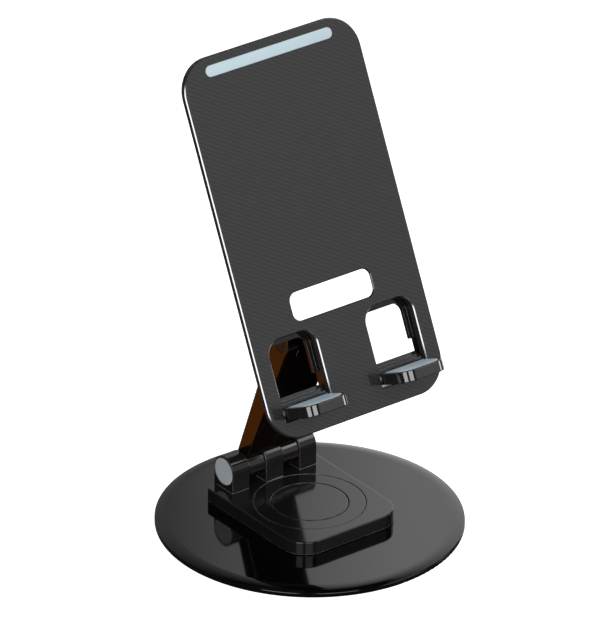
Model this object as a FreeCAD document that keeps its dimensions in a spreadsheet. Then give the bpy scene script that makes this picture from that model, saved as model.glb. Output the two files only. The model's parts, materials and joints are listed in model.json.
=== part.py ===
"""Desk phone stand: disc base, swivelling hinge platform, folding arm and tilting cradle plate.

Frame: +Z up, -Y towards the user, X along the hinge pins, origin under the disc's centre.
The cradle plate's pieces are modelled in the plate's own frame (X across, Y into the depth,
Z up the plate) and the arm in its own (Z along the arm); each then gets its Placement.
"""
import FreeCAD, Part
import Sketcher
import math
import os

# ---------------------------------------------------------------- driving dimensions (mm, degrees)
SIZES = {
    # base disc, its foot pad and the swivel axle
    "disc_radius": 45.0, "disc_bottom": 0.2, "disc_top": 2.3,
    "shoulder_run": 4.0, "shoulder_radius": 12.0, "disc_edge": 0.3,
    "foot_radius": 42.0, "foot_hole": 9.0, "foot_top": 0.6,
    "flange_radius": 6.8, "flange_bottom": 0.65, "flange_top": 1.25,
    "flange_pocket_radius": 7.0, "flange_pocket_top": 1.3,
    "axle_radius": 3.95, "axle_slip": 0.05, "axle_shoulder": 4.15,
    "neck_radius": 3.0, "axle_top": 5.3,
    "thrust_inner": 4.1, "thrust_outer": 12.0, "thrust_bottom": 2.35, "thrust_top": 2.85,
    "wave_inner": 3.1, "wave_outer": 6.2, "wave_bottom": 4.23, "wave_thick": 0.28,
    "nut_bottom": 4.56, "nut_circumradius": 5.6,
    # swivel platform
    "platform_half": 19.1, "platform_front": 19.9, "platform_back": 24.5,
    "platform_bottom": 2.55, "platform_top": 6.6,
    "platform_front_round": 7.6, "platform_back_round": 1.2, "platform_edge": 0.35,
    "hub_recess_radius": 12.3, "hub_bottom": 2.9, "hub_top": 4.2, "hub_well_radius": 8.2,
    "seat_radius": 16.45, "seat_floor": 5.4, "insert_top": 6.54,
    "ring_outer": 16.25, "ring_inner": 11.35, "cap_disc_radius": 11.1, "insert_edge": 0.15,
    # lower hinge
    "hinge_y": 21.2, "hinge_z": 12.1, "ear_radius": 4.45, "ear_rise": 0.45, "ear_edge": 0.2,
    "ear_outer": 15.35, "ear_inner": 9.2, "ear_middle": 3.1,
    "pin_radius": 1.6, "pin_slip": 0.05,
    "cap_radius": 4.12, "cap_thick": 0.9, "cap_seat_radius": 4.2, "cap_seat_depth": 1.0,
    "head_radius": 3.2, "head_thick": 1.3, "head_well_radius": 3.4, "head_well_depth": 1.4,
    "nut_thick": 2.0, "nut_well_radius": 3.6, "nut_well_depth": 2.6, "pin_nut_circumradius": 3.3,
    "spring_washer_thick": 0.35, "spring_washer_outer": 3.2,
    "friction_inner": 1.75, "friction_outer": 3.8, "friction_thick": 0.24,
    # arm
    "arm_half": 8.9, "knuckle_radius": 4.2, "knuckle_inner": 3.4,
    "arm_front_low": 1.45, "arm_rear_low": 3.35, "arm_front_high": 3.7, "arm_rear_high": 3.7,
    "ear_relief": 5.2, "arm_edge": 0.5,
    "prong_inner": 4.5, "prong_radius": 3.8, "tongue_relief": 4.35,
    # cradle plate
    "plate_y": -24.2, "plate_z": 45.6, "plate_tilt": 25.3,
    "plate_half": 31.25, "plate_height": 111.6, "plate_round": 10.1,
    "panel_thick": 0.9, "panel_edge": 0.42, "shell_thick": 1.3, "shell_edge": 0.7,
    "slot_half": 14.35, "slot_low": 31.65, "slot_high": 39.95, "slot_round": 2.55, "slot_flare": 2.0,
    "strip_half": 22.5, "strip_low": 105.7, "strip_high": 109.1,
    "strip_round": 1.69, "strip_body_round": 1.62,
    "strip_seat": 0.4, "strip_proud": 0.25, "strip_gap": 0.06,
    # hook windows and the housing behind them
    "window_in": 8.9, "window_out": 25.9, "window_low": 5.5, "window_high": 28.8, "window_round": 4.6,
    "housing_half": 28.2, "housing_low": 2.4, "housing_high": 30.4, "housing_back": 5.0,
    "housing_round": 4.0, "housing_edge": 0.6,
    "lip_front": 3.8, "lip_side": 1.3, "lip_top": 1.9, "lip_low": 15.7, "lip_round": 3.0,
    "housing_screw_radius": 1.1, "screw_head_radius": 1.9, "screw_head_thick": 0.8,
    "housing_screw_x": 6.2, "housing_screw_low": 6.0, "housing_screw_high": 11.8,
    # upper hinge and its bracket
    "upper_depth": 19.03, "upper_height": 24.67, "tongue_half": 4.2, "tongue_radius": 3.8,
    "bracket_back": 6.6, "bracket_low": 14.8, "bracket_high": 30.2,
    "bracket_foot_half": 8.5, "bracket_rib": 2.6, "window_foot_round": 1.5,
    "upper_pin_radius": 1.5, "upper_head_radius": 2.7, "upper_head_thick": 1.0,
    "upper_well_radius": 2.85, "upper_head_well": 1.1, "upper_nut_thick": 1.5, "upper_nut_well": 1.65,
    "upper_nut_circumradius": 2.75, "upper_friction_inner": 1.65, "upper_friction_outer": 3.4,
    "bracket_screw_x": 6.5, "bracket_screw_low": 17.0, "bracket_screw_high": 28.2,
    "bracket_screw_radius": 0.9, "bracket_head_radius": 1.7, "bracket_head_thick": 0.9,
    # folding hooks
    "hook_in": 9.35, "hook_out": 25.45, "hook_low": 6.15, "hook_top": 9.45, "hook_reach": 11.4,
    "hook_round": 4.6, "hook_edge": 0.25, "hook_axis_height": 8.0, "hook_axis_depth": 2.2,
    "barrel_radius": 1.85, "step_rise": 0.85, "step_back": 4.2, "step_first": 0.35, "step_run": 1.05,
    "hook_pin_radius": 0.75, "hook_pin_slip": 0.05, "hook_pin_reach": 1.6,
    "hook_washer_outer": 1.6, "hook_washer_thick": 0.3,
    "pad_margin": 1.15, "pad_front": 10.25, "pad_round": 3.6, "pad_edge": 0.1,
    "pad_seat": 0.5, "pad_proud": 0.12, "pad_gap": 0.05,
}

doc = FreeCAD.newDocument("PhoneStand")
sheet = doc.addObject("Spreadsheet::Sheet", "Sizes")
for row, (alias, amount) in enumerate(SIZES.items(), start=1):
    sheet.set(f"A{row}", alias)
    sheet.set(f"B{row}", str(amount))
    sheet.setAlias(f"B{row}", alias)
doc.recompute()


def size(alias):
    """The value that the spreadsheet holds under an alias."""
    return float(getattr(sheet, alias))


# ---------------------------------------------------------------- building blocks
TURN = {
    "x": FreeCAD.Rotation(FreeCAD.Vector(0, 1, 0), 90),
    "y": FreeCAD.Rotation(FreeCAD.Vector(1, 0, 0), -90),
    "z": FreeCAD.Rotation(),
}


def bind(item, prop, formula):
    """Bind a property to a formula whose words are spreadsheet aliases."""
    words = []
    for word in formula.split():
        words.append(f"Sizes.{word}" if word in SIZES else word)
    item.setExpression(prop, " ".join(words))


def bind_corner(item, corner):
    """Bind where an object stands to three formulas."""
    for axis, formula in zip("xyz", corner):
        bind(item, f"Placement.Base.{axis}", formula)


def box(name, lengths, corner):
    """A block: three edge lengths and the lowest corner, all as formulas."""
    item = doc.addObject("Part::Box", name)
    for prop, formula in zip(("Length", "Width", "Height"), lengths):
        bind(item, prop, formula)
    bind_corner(item, corner)
    return item


def rod(name, axis, radius, length, start):
    """A round bar along an axis from its start point."""
    item = doc.addObject("Part::Cylinder", name)
    item.Placement = FreeCAD.Placement(FreeCAD.Vector(), TURN[axis])
    bind(item, "Radius", radius)
    bind(item, "Height", length)
    bind_corner(item, start)
    return item


def hexagon(name, axis, circumradius, length, start):
    """A six-sided bar along an axis from its start point."""
    item = doc.addObject("Part::Prism", name)
    item.Polygon = 6
    item.Placement = FreeCAD.Placement(FreeCAD.Vector(), TURN[axis])
    bind(item, "Circumradius", circumradius)
    bind(item, "Height", length)
    bind_corner(item, start)
    return item


def fuse(name, items):
    """One object from several that touch, or a set of separate pieces."""
    item = doc.addObject("Part::MultiFuse", name)
    item.Shapes = items
    item.Refine = True
    return item


def cut(name, base, tools):
    """The base with the tools taken out of it."""
    item = doc.addObject("Part::Cut", name)
    item.Base = base
    item.Tool = tools[0] if len(tools) == 1 else fuse(f"{name}_tools", tools)
    item.Refine = True
    return item


def ring(name, axis, inner, outer, length, start):
    """A plain washer."""
    return cut(name, rod(f"{name}_disc", axis, outer, length, start),
               [rod(f"{name}_bore", axis, inner, length, start)])


def edges_where(item, wanted):
    """Numbers of the edges for which wanted(edge) is true."""
    doc.recompute()
    return [number for number, edge in enumerate(item.Shape.Edges, start=1) if wanted(edge)]


def dress(kind, name, base, alias, wanted):
    """A Part::Fillet or Part::Chamfer of one size on the chosen edges."""
    numbers = edges_where(base, wanted)
    if not numbers:
        raise RuntimeError(f"{name}: no edges chosen")
    amount = size(alias)
    item = doc.addObject(kind, name)
    item.Base = base
    item.Edges = [(number, amount, amount) for number in numbers]
    return item


def rounded(name, base, alias, wanted):
    """The base with the chosen edges rounded."""
    return dress("Part::Fillet", name, base, alias, wanted)


def chamfered(name, base, alias, wanted):
    """The base with the chosen edges broken at 45 degrees."""
    return dress("Part::Chamfer", name, base, alias, wanted)


def along(axis):
    """Chooses straight edges parallel to an axis."""
    def wanted(edge):
        if edge.Curve.TypeId != "Part::GeomLine":
            return False
        return abs(abs(getattr(edge.tangentAt(edge.FirstParameter), axis)) - 1) < 1e-6
    return wanted


def lying_at(axis, value, slack=1e-4):
    """Chooses edges that lie in the plane axis = value."""
    def wanted(edge):
        low = getattr(edge.BoundBox, f"{axis.upper()}Min")
        high = getattr(edge.BoundBox, f"{axis.upper()}Max")
        return abs(low - value) < slack and abs(high - value) < slack
    return wanted


def level(axis):
    """Chooses edges that lie in any plane square to an axis."""
    def wanted(edge):
        bounds = edge.BoundBox
        return getattr(bounds, f"{axis.upper()}Max") - getattr(bounds, f"{axis.upper()}Min") < 1e-4
    return wanted


def both(*tests):
    """Chooses edges that pass every test."""
    return lambda edge: all(test(edge) for test in tests)


def beyond(axis, value):
    """Chooses edges whose middle is past a value along an axis."""
    return lambda edge: getattr(edge.BoundBox.Center, axis) > value


def before(axis, value):
    """Chooses edges whose middle is short of a value along an axis."""
    return lambda edge: getattr(edge.BoundBox.Center, axis) < value


def slab(name, half, low, high, front, thick, corner_alias):
    """A plate-shaped block across X, up Z and into Y, with its four corners rounded."""
    block = box(f"{name}_block", (f"2 * {half}", thick, f"{high} - {low}"), (f"0 - {half}", front, low))
    return rounded(name, block, corner_alias, along("y"))


PARTS = {}


def keep(label, item, placement=None):
    """Register a finished sub-part under its own Label, with its Placement."""
    item.Label = label
    if placement is not None:
        item.Placement = placement
    PARTS[label] = item
    return item


# ---------------------------------------------------------------- where the tilted groups stand
PLATE = FreeCAD.Placement(
    FreeCAD.Vector(0, size("plate_y"), size("plate_z")),
    FreeCAD.Rotation(FreeCAD.Vector(1, 0, 0), -size("plate_tilt")))
UPPER_AXIS = PLATE.multVec(FreeCAD.Vector(0, size("upper_depth"), size("upper_height")))
LOWER_AXIS = FreeCAD.Vector(0, size("hinge_y"), size("hinge_z"))
ARM_LENGTH = (UPPER_AXIS - LOWER_AXIS).Length
ARM_LEAN = math.degrees(math.atan2(LOWER_AXIS.y - UPPER_AXIS.y, UPPER_AXIS.z - LOWER_AXIS.z))
ARM = FreeCAD.Placement(LOWER_AXIS, FreeCAD.Rotation(FreeCAD.Vector(1, 0, 0), ARM_LEAN))
sheet.set("D1", f"{ARM_LENGTH:.6f}")
sheet.setAlias("D1", "arm_length")
SIZES["arm_length"] = ARM_LENGTH
doc.recompute()


# ---------------------------------------------------------------- base
def origin_plane(body, role):
    for feature in body.Origin.OriginFeatures:
        if feature.Role == role:
            return feature
    raise RuntimeError(f"{body.Name} has no {role}")


def make_disc():
    """A flat disc whose top falls away to the rim in one long round, with its seats cut from below."""
    below = ("0", "0", "disc_bottom")
    blank = rod("disc_blank", "z", "disc_radius", "disc_top - disc_bottom", below)
    flat = rod("disc_flat", "z", "disc_radius - shoulder_run", "disc_top - disc_bottom", below)
    shoulder = doc.addObject("Part::Torus", "disc_shoulder")
    bind(shoulder, "Radius1", "disc_radius - shoulder_run")
    bind(shoulder, "Radius2", "shoulder_radius")
    bind_corner(shoulder, ("0", "0", "disc_top - shoulder_radius"))
    crown = doc.addObject("Part::Common", "disc_crown")
    crown.Base = blank
    crown.Tool = fuse("disc_top_form", [flat, shoulder])
    at_rim = size("disc_radius") - 1e-3
    on_rim = both(level("z"), lambda edge: edge.BoundBox.XMax > at_rim)
    soft = rounded("disc_soft", crown, "disc_edge", on_rim)
    return cut("disc_cut", soft, [
        rod("disc_foot_seat", "z", "foot_radius", "foot_top - disc_bottom", below),
        rod("disc_flange_seat", "z", "flange_pocket_radius", "flange_pocket_top - disc_bottom", below),
        rod("disc_axle_hole", "z", "axle_radius", "disc_top - disc_bottom", below),
    ])


def make_base():
    """The disc, its foot ring and the axle with its washers and nut."""
    keep("base_disc", make_disc())

    foot_radius = "foot_radius - pad_gap"
    keep("foot_pad", ring("foot_pad", "z", "foot_hole", foot_radius, "foot_top", ("0", "0", "0")))

    slim = "axle_radius - 0.02"
    flange = rod("axle_flange", "z", "flange_radius", "flange_top - flange_bottom",
                 ("0", "0", "flange_bottom"))
    post = rod("axle_post", "z", slim, "axle_shoulder - flange_bottom", ("0", "0", "flange_bottom"))
    neck = rod("axle_neck", "z", "neck_radius", "axle_top - flange_bottom", ("0", "0", "flange_bottom"))
    axle = fuse("axle_blank", [flange, post, neck])
    keep("swivel_axle", chamfered("axle_tip", axle, "insert_edge", lying_at("z", size("axle_top"))))

    keep("thrust_washer", ring("thrust_washer", "z", "thrust_inner", "thrust_outer",
                               "thrust_top - thrust_bottom", ("0", "0", "thrust_bottom")))
    keep("wave_washer", ring("wave_washer", "z", "wave_inner", "wave_outer", "wave_thick",
                             ("0", "0", "wave_bottom")))
    nut = hexagon("axle_nut_hex", "z", "nut_circumradius", "axle_top - nut_bottom", ("0", "0", "nut_bottom"))
    bore = rod("axle_nut_bore", "z", "neck_radius + 0.04", "axle_top - nut_bottom", ("0", "0", "nut_bottom"))
    keep("axle_nut", cut("axle_nut_cut", nut, [bore]))


# ---------------------------------------------------------------- swivel platform
def ear_spans():
    """Names and X spans of the platform's three ears."""
    return (("left", "0 - ear_outer", "ear_outer - ear_inner"),
            ("middle", "0 - ear_middle", "2 * ear_middle"),
            ("right", "ear_inner", "ear_outer - ear_inner"))


def platform_plate():
    """The low block, its front corners wide and its back corners nearly square."""
    block = box("platform_block",
                ("2 * platform_half", "platform_front + platform_back", "platform_top - platform_bottom"),
                ("0 - platform_half", "0 - platform_front", "platform_bottom"))
    front = rounded("platform_front_corners", block, "platform_front_round", both(along("z"), before("y", 0)))
    back = rounded("platform_back_corners", front, "platform_back_round",
                   both(along("z"), beyond("y", size("platform_back") - 0.01)))
    rim = rounded("platform_rim", back, "platform_edge", lying_at("z", size("platform_top")))
    return rim


def platform_ear(name, start, width):
    """An upright ear: flat front and back, round top, its foot inside the block."""
    foot = "platform_top - 1"
    upright = box(f"ear_{name}_upright", (width, "2 * ear_radius", f"hinge_z + ear_rise - ( {foot} )"),
                  (start, "hinge_y - ear_radius", foot))
    crown = rod(f"ear_{name}_crown", "x", "ear_radius", width, (start, "hinge_y", "hinge_z + ear_rise"))
    ear = fuse(f"ear_{name}_blank", [upright, crown])
    sides = (size("ear_outer"), size("ear_inner"), size("ear_middle"))

    def on_side(edge):
        box_ = edge.BoundBox
        flat = box_.XMax - box_.XMin < 1e-4
        on_side = any(abs(abs(box_.XMin) - side) < 1e-4 for side in sides)
        return flat and on_side and box_.ZMax > size("platform_top")
    return rounded(f"ear_{name}", ear, "ear_edge", on_side)


def make_platform():
    solid = fuse("platform_solid", [platform_plate()] + [platform_ear(*span) for span in ear_spans()])
    left, right = "0 - ear_outer", "ear_outer"
    cuts = [
        rod("seat_cut", "z", "seat_radius", "2", ("0", "0", "seat_floor")),
        rod("well_cut", "z", "hub_well_radius", "2", ("0", "0", "hub_top")),
        rod("hub_bore_cut", "z", "axle_radius + axle_slip", "4", ("0", "0", "platform_bottom - 1")),
        rod("hub_recess_cut", "z", "hub_recess_radius", "hub_bottom - platform_bottom + 1",
            ("0", "0", "platform_bottom - 1")),
        rod("pin_bore_cut", "x", "pin_radius + pin_slip", "2 * ear_outer", (left, "hinge_y", "hinge_z")),
        rod("cap_seat_left_cut", "x", "cap_seat_radius", "cap_seat_depth", (left, "hinge_y", "hinge_z")),
        rod("cap_seat_right_cut", "x", "cap_seat_radius", "cap_seat_depth",
            ("ear_outer - cap_seat_depth", "hinge_y", "hinge_z")),
        rod("head_well_cut", "x", "head_well_radius", "cap_seat_depth + head_well_depth",
            (left, "hinge_y", "hinge_z")),
        rod("nut_well_cut", "x", "nut_well_radius", "cap_seat_depth + nut_well_depth",
            (f"{right} - cap_seat_depth - nut_well_depth", "hinge_y", "hinge_z")),
    ]
    keep("platform", cut("platform_cut", solid, cuts))

    height = "insert_top - seat_floor"
    floor = ("0", "0", "seat_floor")
    trim = ring("trim_ring_blank", "z", "ring_inner", "ring_outer", height, floor)
    keep("trim_ring", rounded("trim_ring_soft", trim, "insert_edge", lying_at("z", size("insert_top"))))
    cover = rod("centre_cap_blank", "z", "cap_disc_radius", height, floor)
    keep("centre_cap", rounded("centre_cap_soft", cover, "insert_edge", lying_at("z", size("insert_top"))))

    head_start = "cap_seat_depth + 0.03 - ear_outer"
    head = rod("lower_pin_head", "x", "head_radius", "head_thick", (head_start, "hinge_y", "hinge_z"))
    shank = rod("lower_pin_shank", "x", "pin_radius", "2 * ear_outer - 2 * cap_seat_depth - 0.2",
                (head_start, "hinge_y", "hinge_z"))
    keep("lower_hinge_pin", fuse("lower_pin", [head, shank]))

    washer_start = "ear_outer - cap_seat_depth - nut_well_depth + 0.03"
    keep("lower_spring_washer",
         ring("lower_spring_washer", "x", "friction_inner", "spring_washer_outer", "spring_washer_thick",
              (washer_start, "hinge_y", "hinge_z")))
    nut_start = f"{washer_start} + spring_washer_thick + 0.03"
    nut = hexagon("lower_nut_hex", "x", "pin_nut_circumradius", "nut_thick",
                  (nut_start, "hinge_y", "hinge_z"))
    bore = rod("lower_nut_bore", "x", "pin_radius + 0.04", "nut_thick", (nut_start, "hinge_y", "hinge_z"))
    keep("lower_hinge_nut", cut("lower_nut", nut, [bore]))

    for side, start in (("left", "0.03 - ear_outer"), ("right", "ear_outer - 0.03 - cap_thick")):
        blank = rod(f"hinge_cap_{side}_blank", "x", "cap_radius", "cap_thick",
                    (start, "hinge_y", "hinge_z"))
        outer = -size("ear_outer") + 0.03 if side == "left" else size("ear_outer") - 0.03
        cap = rounded(f"hinge_cap_{side}_soft", blank, "insert_edge", lying_at("x", outer))
        keep(f"hinge_cap_{side}", cap)

    gaps = ("0 - ear_inner + 0.03", "0 - knuckle_inner + 0.03", "ear_middle + 0.03", "arm_half + 0.03")
    washers = [ring(f"lower_friction_{number}", "x", "friction_inner", "friction_outer", "friction_thick",
                    (start, "hinge_y", "hinge_z")) for number, start in enumerate(gaps, start=1)]
    keep("lower_friction_washers", fuse("lower_friction_set", washers))


# ---------------------------------------------------------------- arm
def arm_profile(body):
    """The arm's side view in the body's YZ plane: a bar that widens towards its upper hinge."""
    sketch = body.newObject("Sketcher::SketchObject", "arm_side")
    sketch.AttachmentSupport = [(origin_plane(body, "YZ_Plane"), "")]
    sketch.MapMode = "FlatFace"
    corners = [(-size("arm_front_low"), 0), (size("arm_rear_low"), 0),
               (size("arm_rear_high"), ARM_LENGTH), (-size("arm_front_high"), ARM_LENGTH)]
    points = [FreeCAD.Vector(x, y, 0) for x, y in corners]
    for number, point in enumerate(points):
        sketch.addGeometry(Part.LineSegment(point, points[(number + 1) % 4]), False)
    for number in range(4):
        sketch.addConstraint(Sketcher.Constraint("Coincident", number, 2, (number + 1) % 4, 1))
    sketch.addConstraint(Sketcher.Constraint("PointOnObject", 0, 1, -1))
    sketch.addConstraint(Sketcher.Constraint("Horizontal", 0))
    sketch.addConstraint(Sketcher.Constraint("Horizontal", 2))
    spans = (("front_low", 0, 1, -1, 1), ("rear_low", -1, 1, 0, 2), ("rear_high", -1, 1, 1, 2),
             ("front_high", 2, 2, -1, 1))
    for name, first, first_end, second, second_end in spans:
        alias = f"arm_{name}"
        index = sketch.addConstraint(
            Sketcher.Constraint("DistanceX", first, first_end, second, second_end, size(alias)))
        sketch.renameConstraint(index, name)
        bind(sketch, f"Constraints.{name}", alias)
    index = sketch.addConstraint(Sketcher.Constraint("DistanceY", -1, 1, 2, 1, ARM_LENGTH))
    sketch.renameConstraint(index, "reach")
    bind(sketch, "Constraints.reach", "arm_length")
    return sketch


def runs_up_the_arm(edge):
    """Chooses the arm bar's long edges, where its broad faces meet its sides."""
    bounds = edge.BoundBox
    return bounds.ZMax - bounds.ZMin > 0.9 * ARM_LENGTH


def make_arm():
    """A flat bar with two knuckles at its lower end and a two-pronged fork at its upper end."""
    body = doc.addObject("PartDesign::Body", "arm_bar")
    bar = body.newObject("PartDesign::Pad", "arm_bar_pad")
    bar.Profile = arm_profile(body)
    bar.Midplane = True
    bind(bar, "Length", "2 * arm_half")
    doc.recompute()
    soft_bar = rounded("arm_bar_soft", body, "arm_edge", runs_up_the_arm)

    pieces = [soft_bar]
    for side, start in (("left", "0 - arm_half"), ("right", "knuckle_inner")):
        pieces.append(rod(f"arm_knuckle_{side}", "x", "knuckle_radius", "arm_half - knuckle_inner",
                          (start, "0", "0")))
    for side, start in (("left", "0 - arm_half"), ("right", "prong_inner")):
        pieces.append(rod(f"arm_prong_{side}", "x", "prong_radius", "arm_half - prong_inner",
                          (start, "0", "arm_length")))
    solid = fuse("arm_solid", pieces)

    left, top = "0 - arm_half", ("0", "arm_length")
    cuts = [
        rod("arm_relief_middle", "x", "ear_relief", "2 * knuckle_inner", ("0 - knuckle_inner", "0", "0")),
        rod("arm_lower_bore", "x", "pin_radius + pin_slip", "2 * arm_half", (left, "0", "0")),
        rod("arm_upper_bore", "x", "upper_pin_radius + pin_slip", "2 * arm_half", (left, *top)),
        rod("arm_head_well", "x", "upper_well_radius", "upper_head_well", (left, *top)),
        rod("arm_nut_well", "x", "upper_well_radius", "upper_nut_well", ("arm_half - upper_nut_well", *top)),
        box("arm_fork", ("2 * prong_inner", "20", "12"),
            ("0 - prong_inner", "0 - 10", "arm_length - tongue_relief")),
    ]
    keep("arm", cut("arm_cut", solid, cuts), ARM)
    make_upper_pin()


def make_upper_pin():
    """The pin through the fork, its nut and the two friction washers beside the cradle's tongue."""
    top = ("0", "arm_length")
    head_start = "0.05 - arm_half"
    head = rod("upper_pin_head", "x", "upper_head_radius", "upper_head_thick", (head_start, *top))
    shank = rod("upper_pin_shank", "x", "upper_pin_radius", "2 * arm_half - 0.15", (head_start, *top))
    keep("upper_hinge_pin", fuse("upper_pin", [head, shank]), ARM)

    nut_start = "arm_half - upper_nut_well + 0.03"
    nut = hexagon("upper_nut_hex", "x", "upper_nut_circumradius", "upper_nut_thick", (nut_start, *top))
    bore = rod("upper_nut_bore", "x", "upper_pin_radius + 0.04", "upper_nut_thick", (nut_start, *top))
    keep("upper_hinge_nut", cut("upper_nut", nut, [bore]), ARM)

    washers = [ring(f"upper_friction_{side}", "x", "upper_friction_inner", "upper_friction_outer",
                    "friction_thick", (start, *top))
               for side, start in (("left", "0.03 - prong_inner"), ("right", "tongue_half + 0.03"))]
    keep("upper_friction_washers", fuse("upper_friction_set", washers), ARM)


# ---------------------------------------------------------------- cradle plate
def window_prism(name, inset_side, inset_top, low, front, thick, round_alias, side):
    """A bar that fills one hook window: round upper corners, square lower ones."""
    width = f"window_out - window_in - 2 * {inset_side}"
    start = f"window_in + {inset_side}" if side == "right" else f"0 - window_out + {inset_side}"
    height = f"window_high - {inset_top} - {low}"
    block = box(f"{name}_block", (width, thick, height), (start, front, low))
    top = size("window_high") - 4
    return rounded(name, block, round_alias, both(along("y"), beyond("z", top)))


def windows(prefix, front, thick):
    """The two bars that open both hook windows."""
    return [window_prism(f"{prefix}_window_{side}", "0", "0", "window_low", front, thick,
                         "window_round", side)
            for side in ("left", "right")]


def slot_prism(name, margin, front, thick):
    """A bar that fills the cable slot, larger all round by a margin."""
    return slab(name, f"( slot_half + {margin} )", f"( slot_low - {margin} )", f"( slot_high + {margin} )",
                front, thick, "slot_round")


def make_plate():
    """The front panel, the pale strip in its seat and the shell behind."""
    panel = slab("panel", "plate_half", "0", "plate_height", "0", "panel_thick", "plate_round")
    front_edges = chamfered("panel_edge_break", panel, "panel_edge", lying_at("y", 0))
    openings = windows("panel", "0 - 1", "3") + [slot_prism("panel_slot", "0", "0 - 1", "3")]
    strip_seat = slab("panel_strip_seat", "strip_half", "strip_low", "strip_high", "0 - 1",
                      "strip_seat + 1", "strip_round")
    keep("front_panel", cut("panel_cut", front_edges, openings + [strip_seat]), PLATE)

    strip = slab("strip", "( strip_half - strip_gap )", "( strip_low + strip_gap )",
                 "( strip_high - strip_gap )", "0 - strip_proud", "strip_seat + strip_proud - 0.02",
                 "strip_body_round")
    keep("top_strip", rounded("strip_soft", strip, "insert_edge", lying_at("y", -size("strip_proud"))), PLATE)

    shell = slab("shell", "plate_half", "0", "plate_height", "panel_thick", "shell_thick", "plate_round")
    shell_back = size("panel_thick") + size("shell_thick")
    soft_shell = rounded("shell_soft", shell, "shell_edge", lying_at("y", shell_back))
    cuts = windows("shell", "0", "3") + [slot_prism("shell_slot", "slot_flare", "0", "3")]
    cuts += [hook_pin_bore(f"shell_pin_{side}", side) for side in ("left", "right")]
    for place, (x, z) in screw_places().items():
        cuts.append(rod(f"shell_hole_{place}", "y", "housing_screw_radius", "3", (x, "0", z)))
    keep("back_shell", cut("shell_cut", soft_shell, cuts), PLATE)
    make_housing()


def hook_pin_bore(name, side):
    """The bore through both of a window's side walls."""
    start = "window_in - hook_pin_reach" if side == "right" else "0 - window_out - hook_pin_reach"
    return rod(name, "x", "hook_pin_radius + hook_pin_slip", "window_out - window_in + 2 * hook_pin_reach",
               (start, "hook_axis_depth", "hook_axis_height"))


def make_housing():
    """The frame behind the windows: it carries the hook pins, the stop lips and the hinge bracket."""
    front = "( panel_thick + shell_thick )"
    block = slab("housing", "housing_half", "housing_low", "housing_high", front, f"housing_back - {front}",
                 "housing_round")
    soft = rounded("housing_soft", block, "housing_edge", lying_at("y", size("housing_back")))
    cuts = []
    for side in ("left", "right"):
        cuts.append(window_prism(f"housing_window_{side}", "0", "0", "window_low", "0", "lip_front",
                                 "window_round", side))
        cuts.append(window_prism(f"housing_stop_{side}", "lip_side", "lip_top", "window_low", "0", "8",
                                 "lip_round", side))
        start = "window_in" if side == "right" else "0 - window_out"
        cuts.append(box(f"housing_notch_{side}", ("window_out - window_in", "8", "lip_low - window_low"),
                        (start, "0", "window_low")))
        cuts.append(hook_pin_bore(f"housing_pin_{side}", side))
    for place, (x, z) in screw_places().items():
        cuts.append(rod(f"housing_hole_{place}", "y", "housing_screw_radius", "6", (x, "0", z)))
    for place, (x, z) in bracket_places().items():
        cuts.append(rod(f"housing_tap_{place}", "y", "bracket_screw_radius", "6", (x, front, z)))
    keep("hook_housing", cut("housing_cut", soft, cuts), PLATE)

    screws = []
    for place, (x, z) in screw_places().items():
        shank = rod(f"housing_shank_{place}", "y", "housing_screw_radius - 0.03",
                    "housing_back - panel_thick", (x, "panel_thick + 0.1", z))
        head = rod(f"housing_head_{place}", "y", "screw_head_radius", "screw_head_thick",
                   (x, "housing_back + 0.01", z))
        screws.append(fuse(f"housing_screw_{place}", [shank, head]))
    keep("housing_screws", fuse("housing_screw_set", screws), PLATE)


def screw_places():
    """Where the four screws hold the housing on the shell."""
    return corner_places("housing_screw_x", "housing_screw_low", "housing_screw_high")


def bracket_places():
    """Where the four screws hold the hinge bracket on the housing."""
    return corner_places("bracket_screw_x", "bracket_screw_low", "bracket_screw_high")


def corner_places(half, low, high):
    return {f"{level}_{side}": (f"{sign} {half}", z)
            for level, z in (("low", low), ("high", high))
            for side, sign in (("left", "0 -"), ("right", "0 +"))}


# ---------------------------------------------------------------- hinge bracket
def bracket_tongue():
    """The tongue: a bar from the foot to a round end about the upper pin, with ribs at its root."""
    width, start, foot = "2 * tongue_half", "0 - tongue_half", "housing_back + 0.5"
    bar = box("bracket_bar", (width, f"upper_depth - ( {foot} )", "2 * tongue_radius"),
              (start, foot, "upper_height - tongue_radius"))
    end = rod("bracket_end", "x", "tongue_radius", width, (start, "upper_depth", "upper_height"))
    rib = box("bracket_ribs", (width, "bracket_rib + 1.1", "2 * tongue_radius + bracket_rib + 1.3"),
              (start, foot, "upper_height - tongue_radius - bracket_rib"))
    root = both(along("x"), beyond("y", size("housing_back") + 3), before("z", size("upper_height")))
    soft_rib = chamfered("bracket_ribs_soft", rib, "bracket_rib", root)
    return [bar, end, soft_rib]


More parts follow.
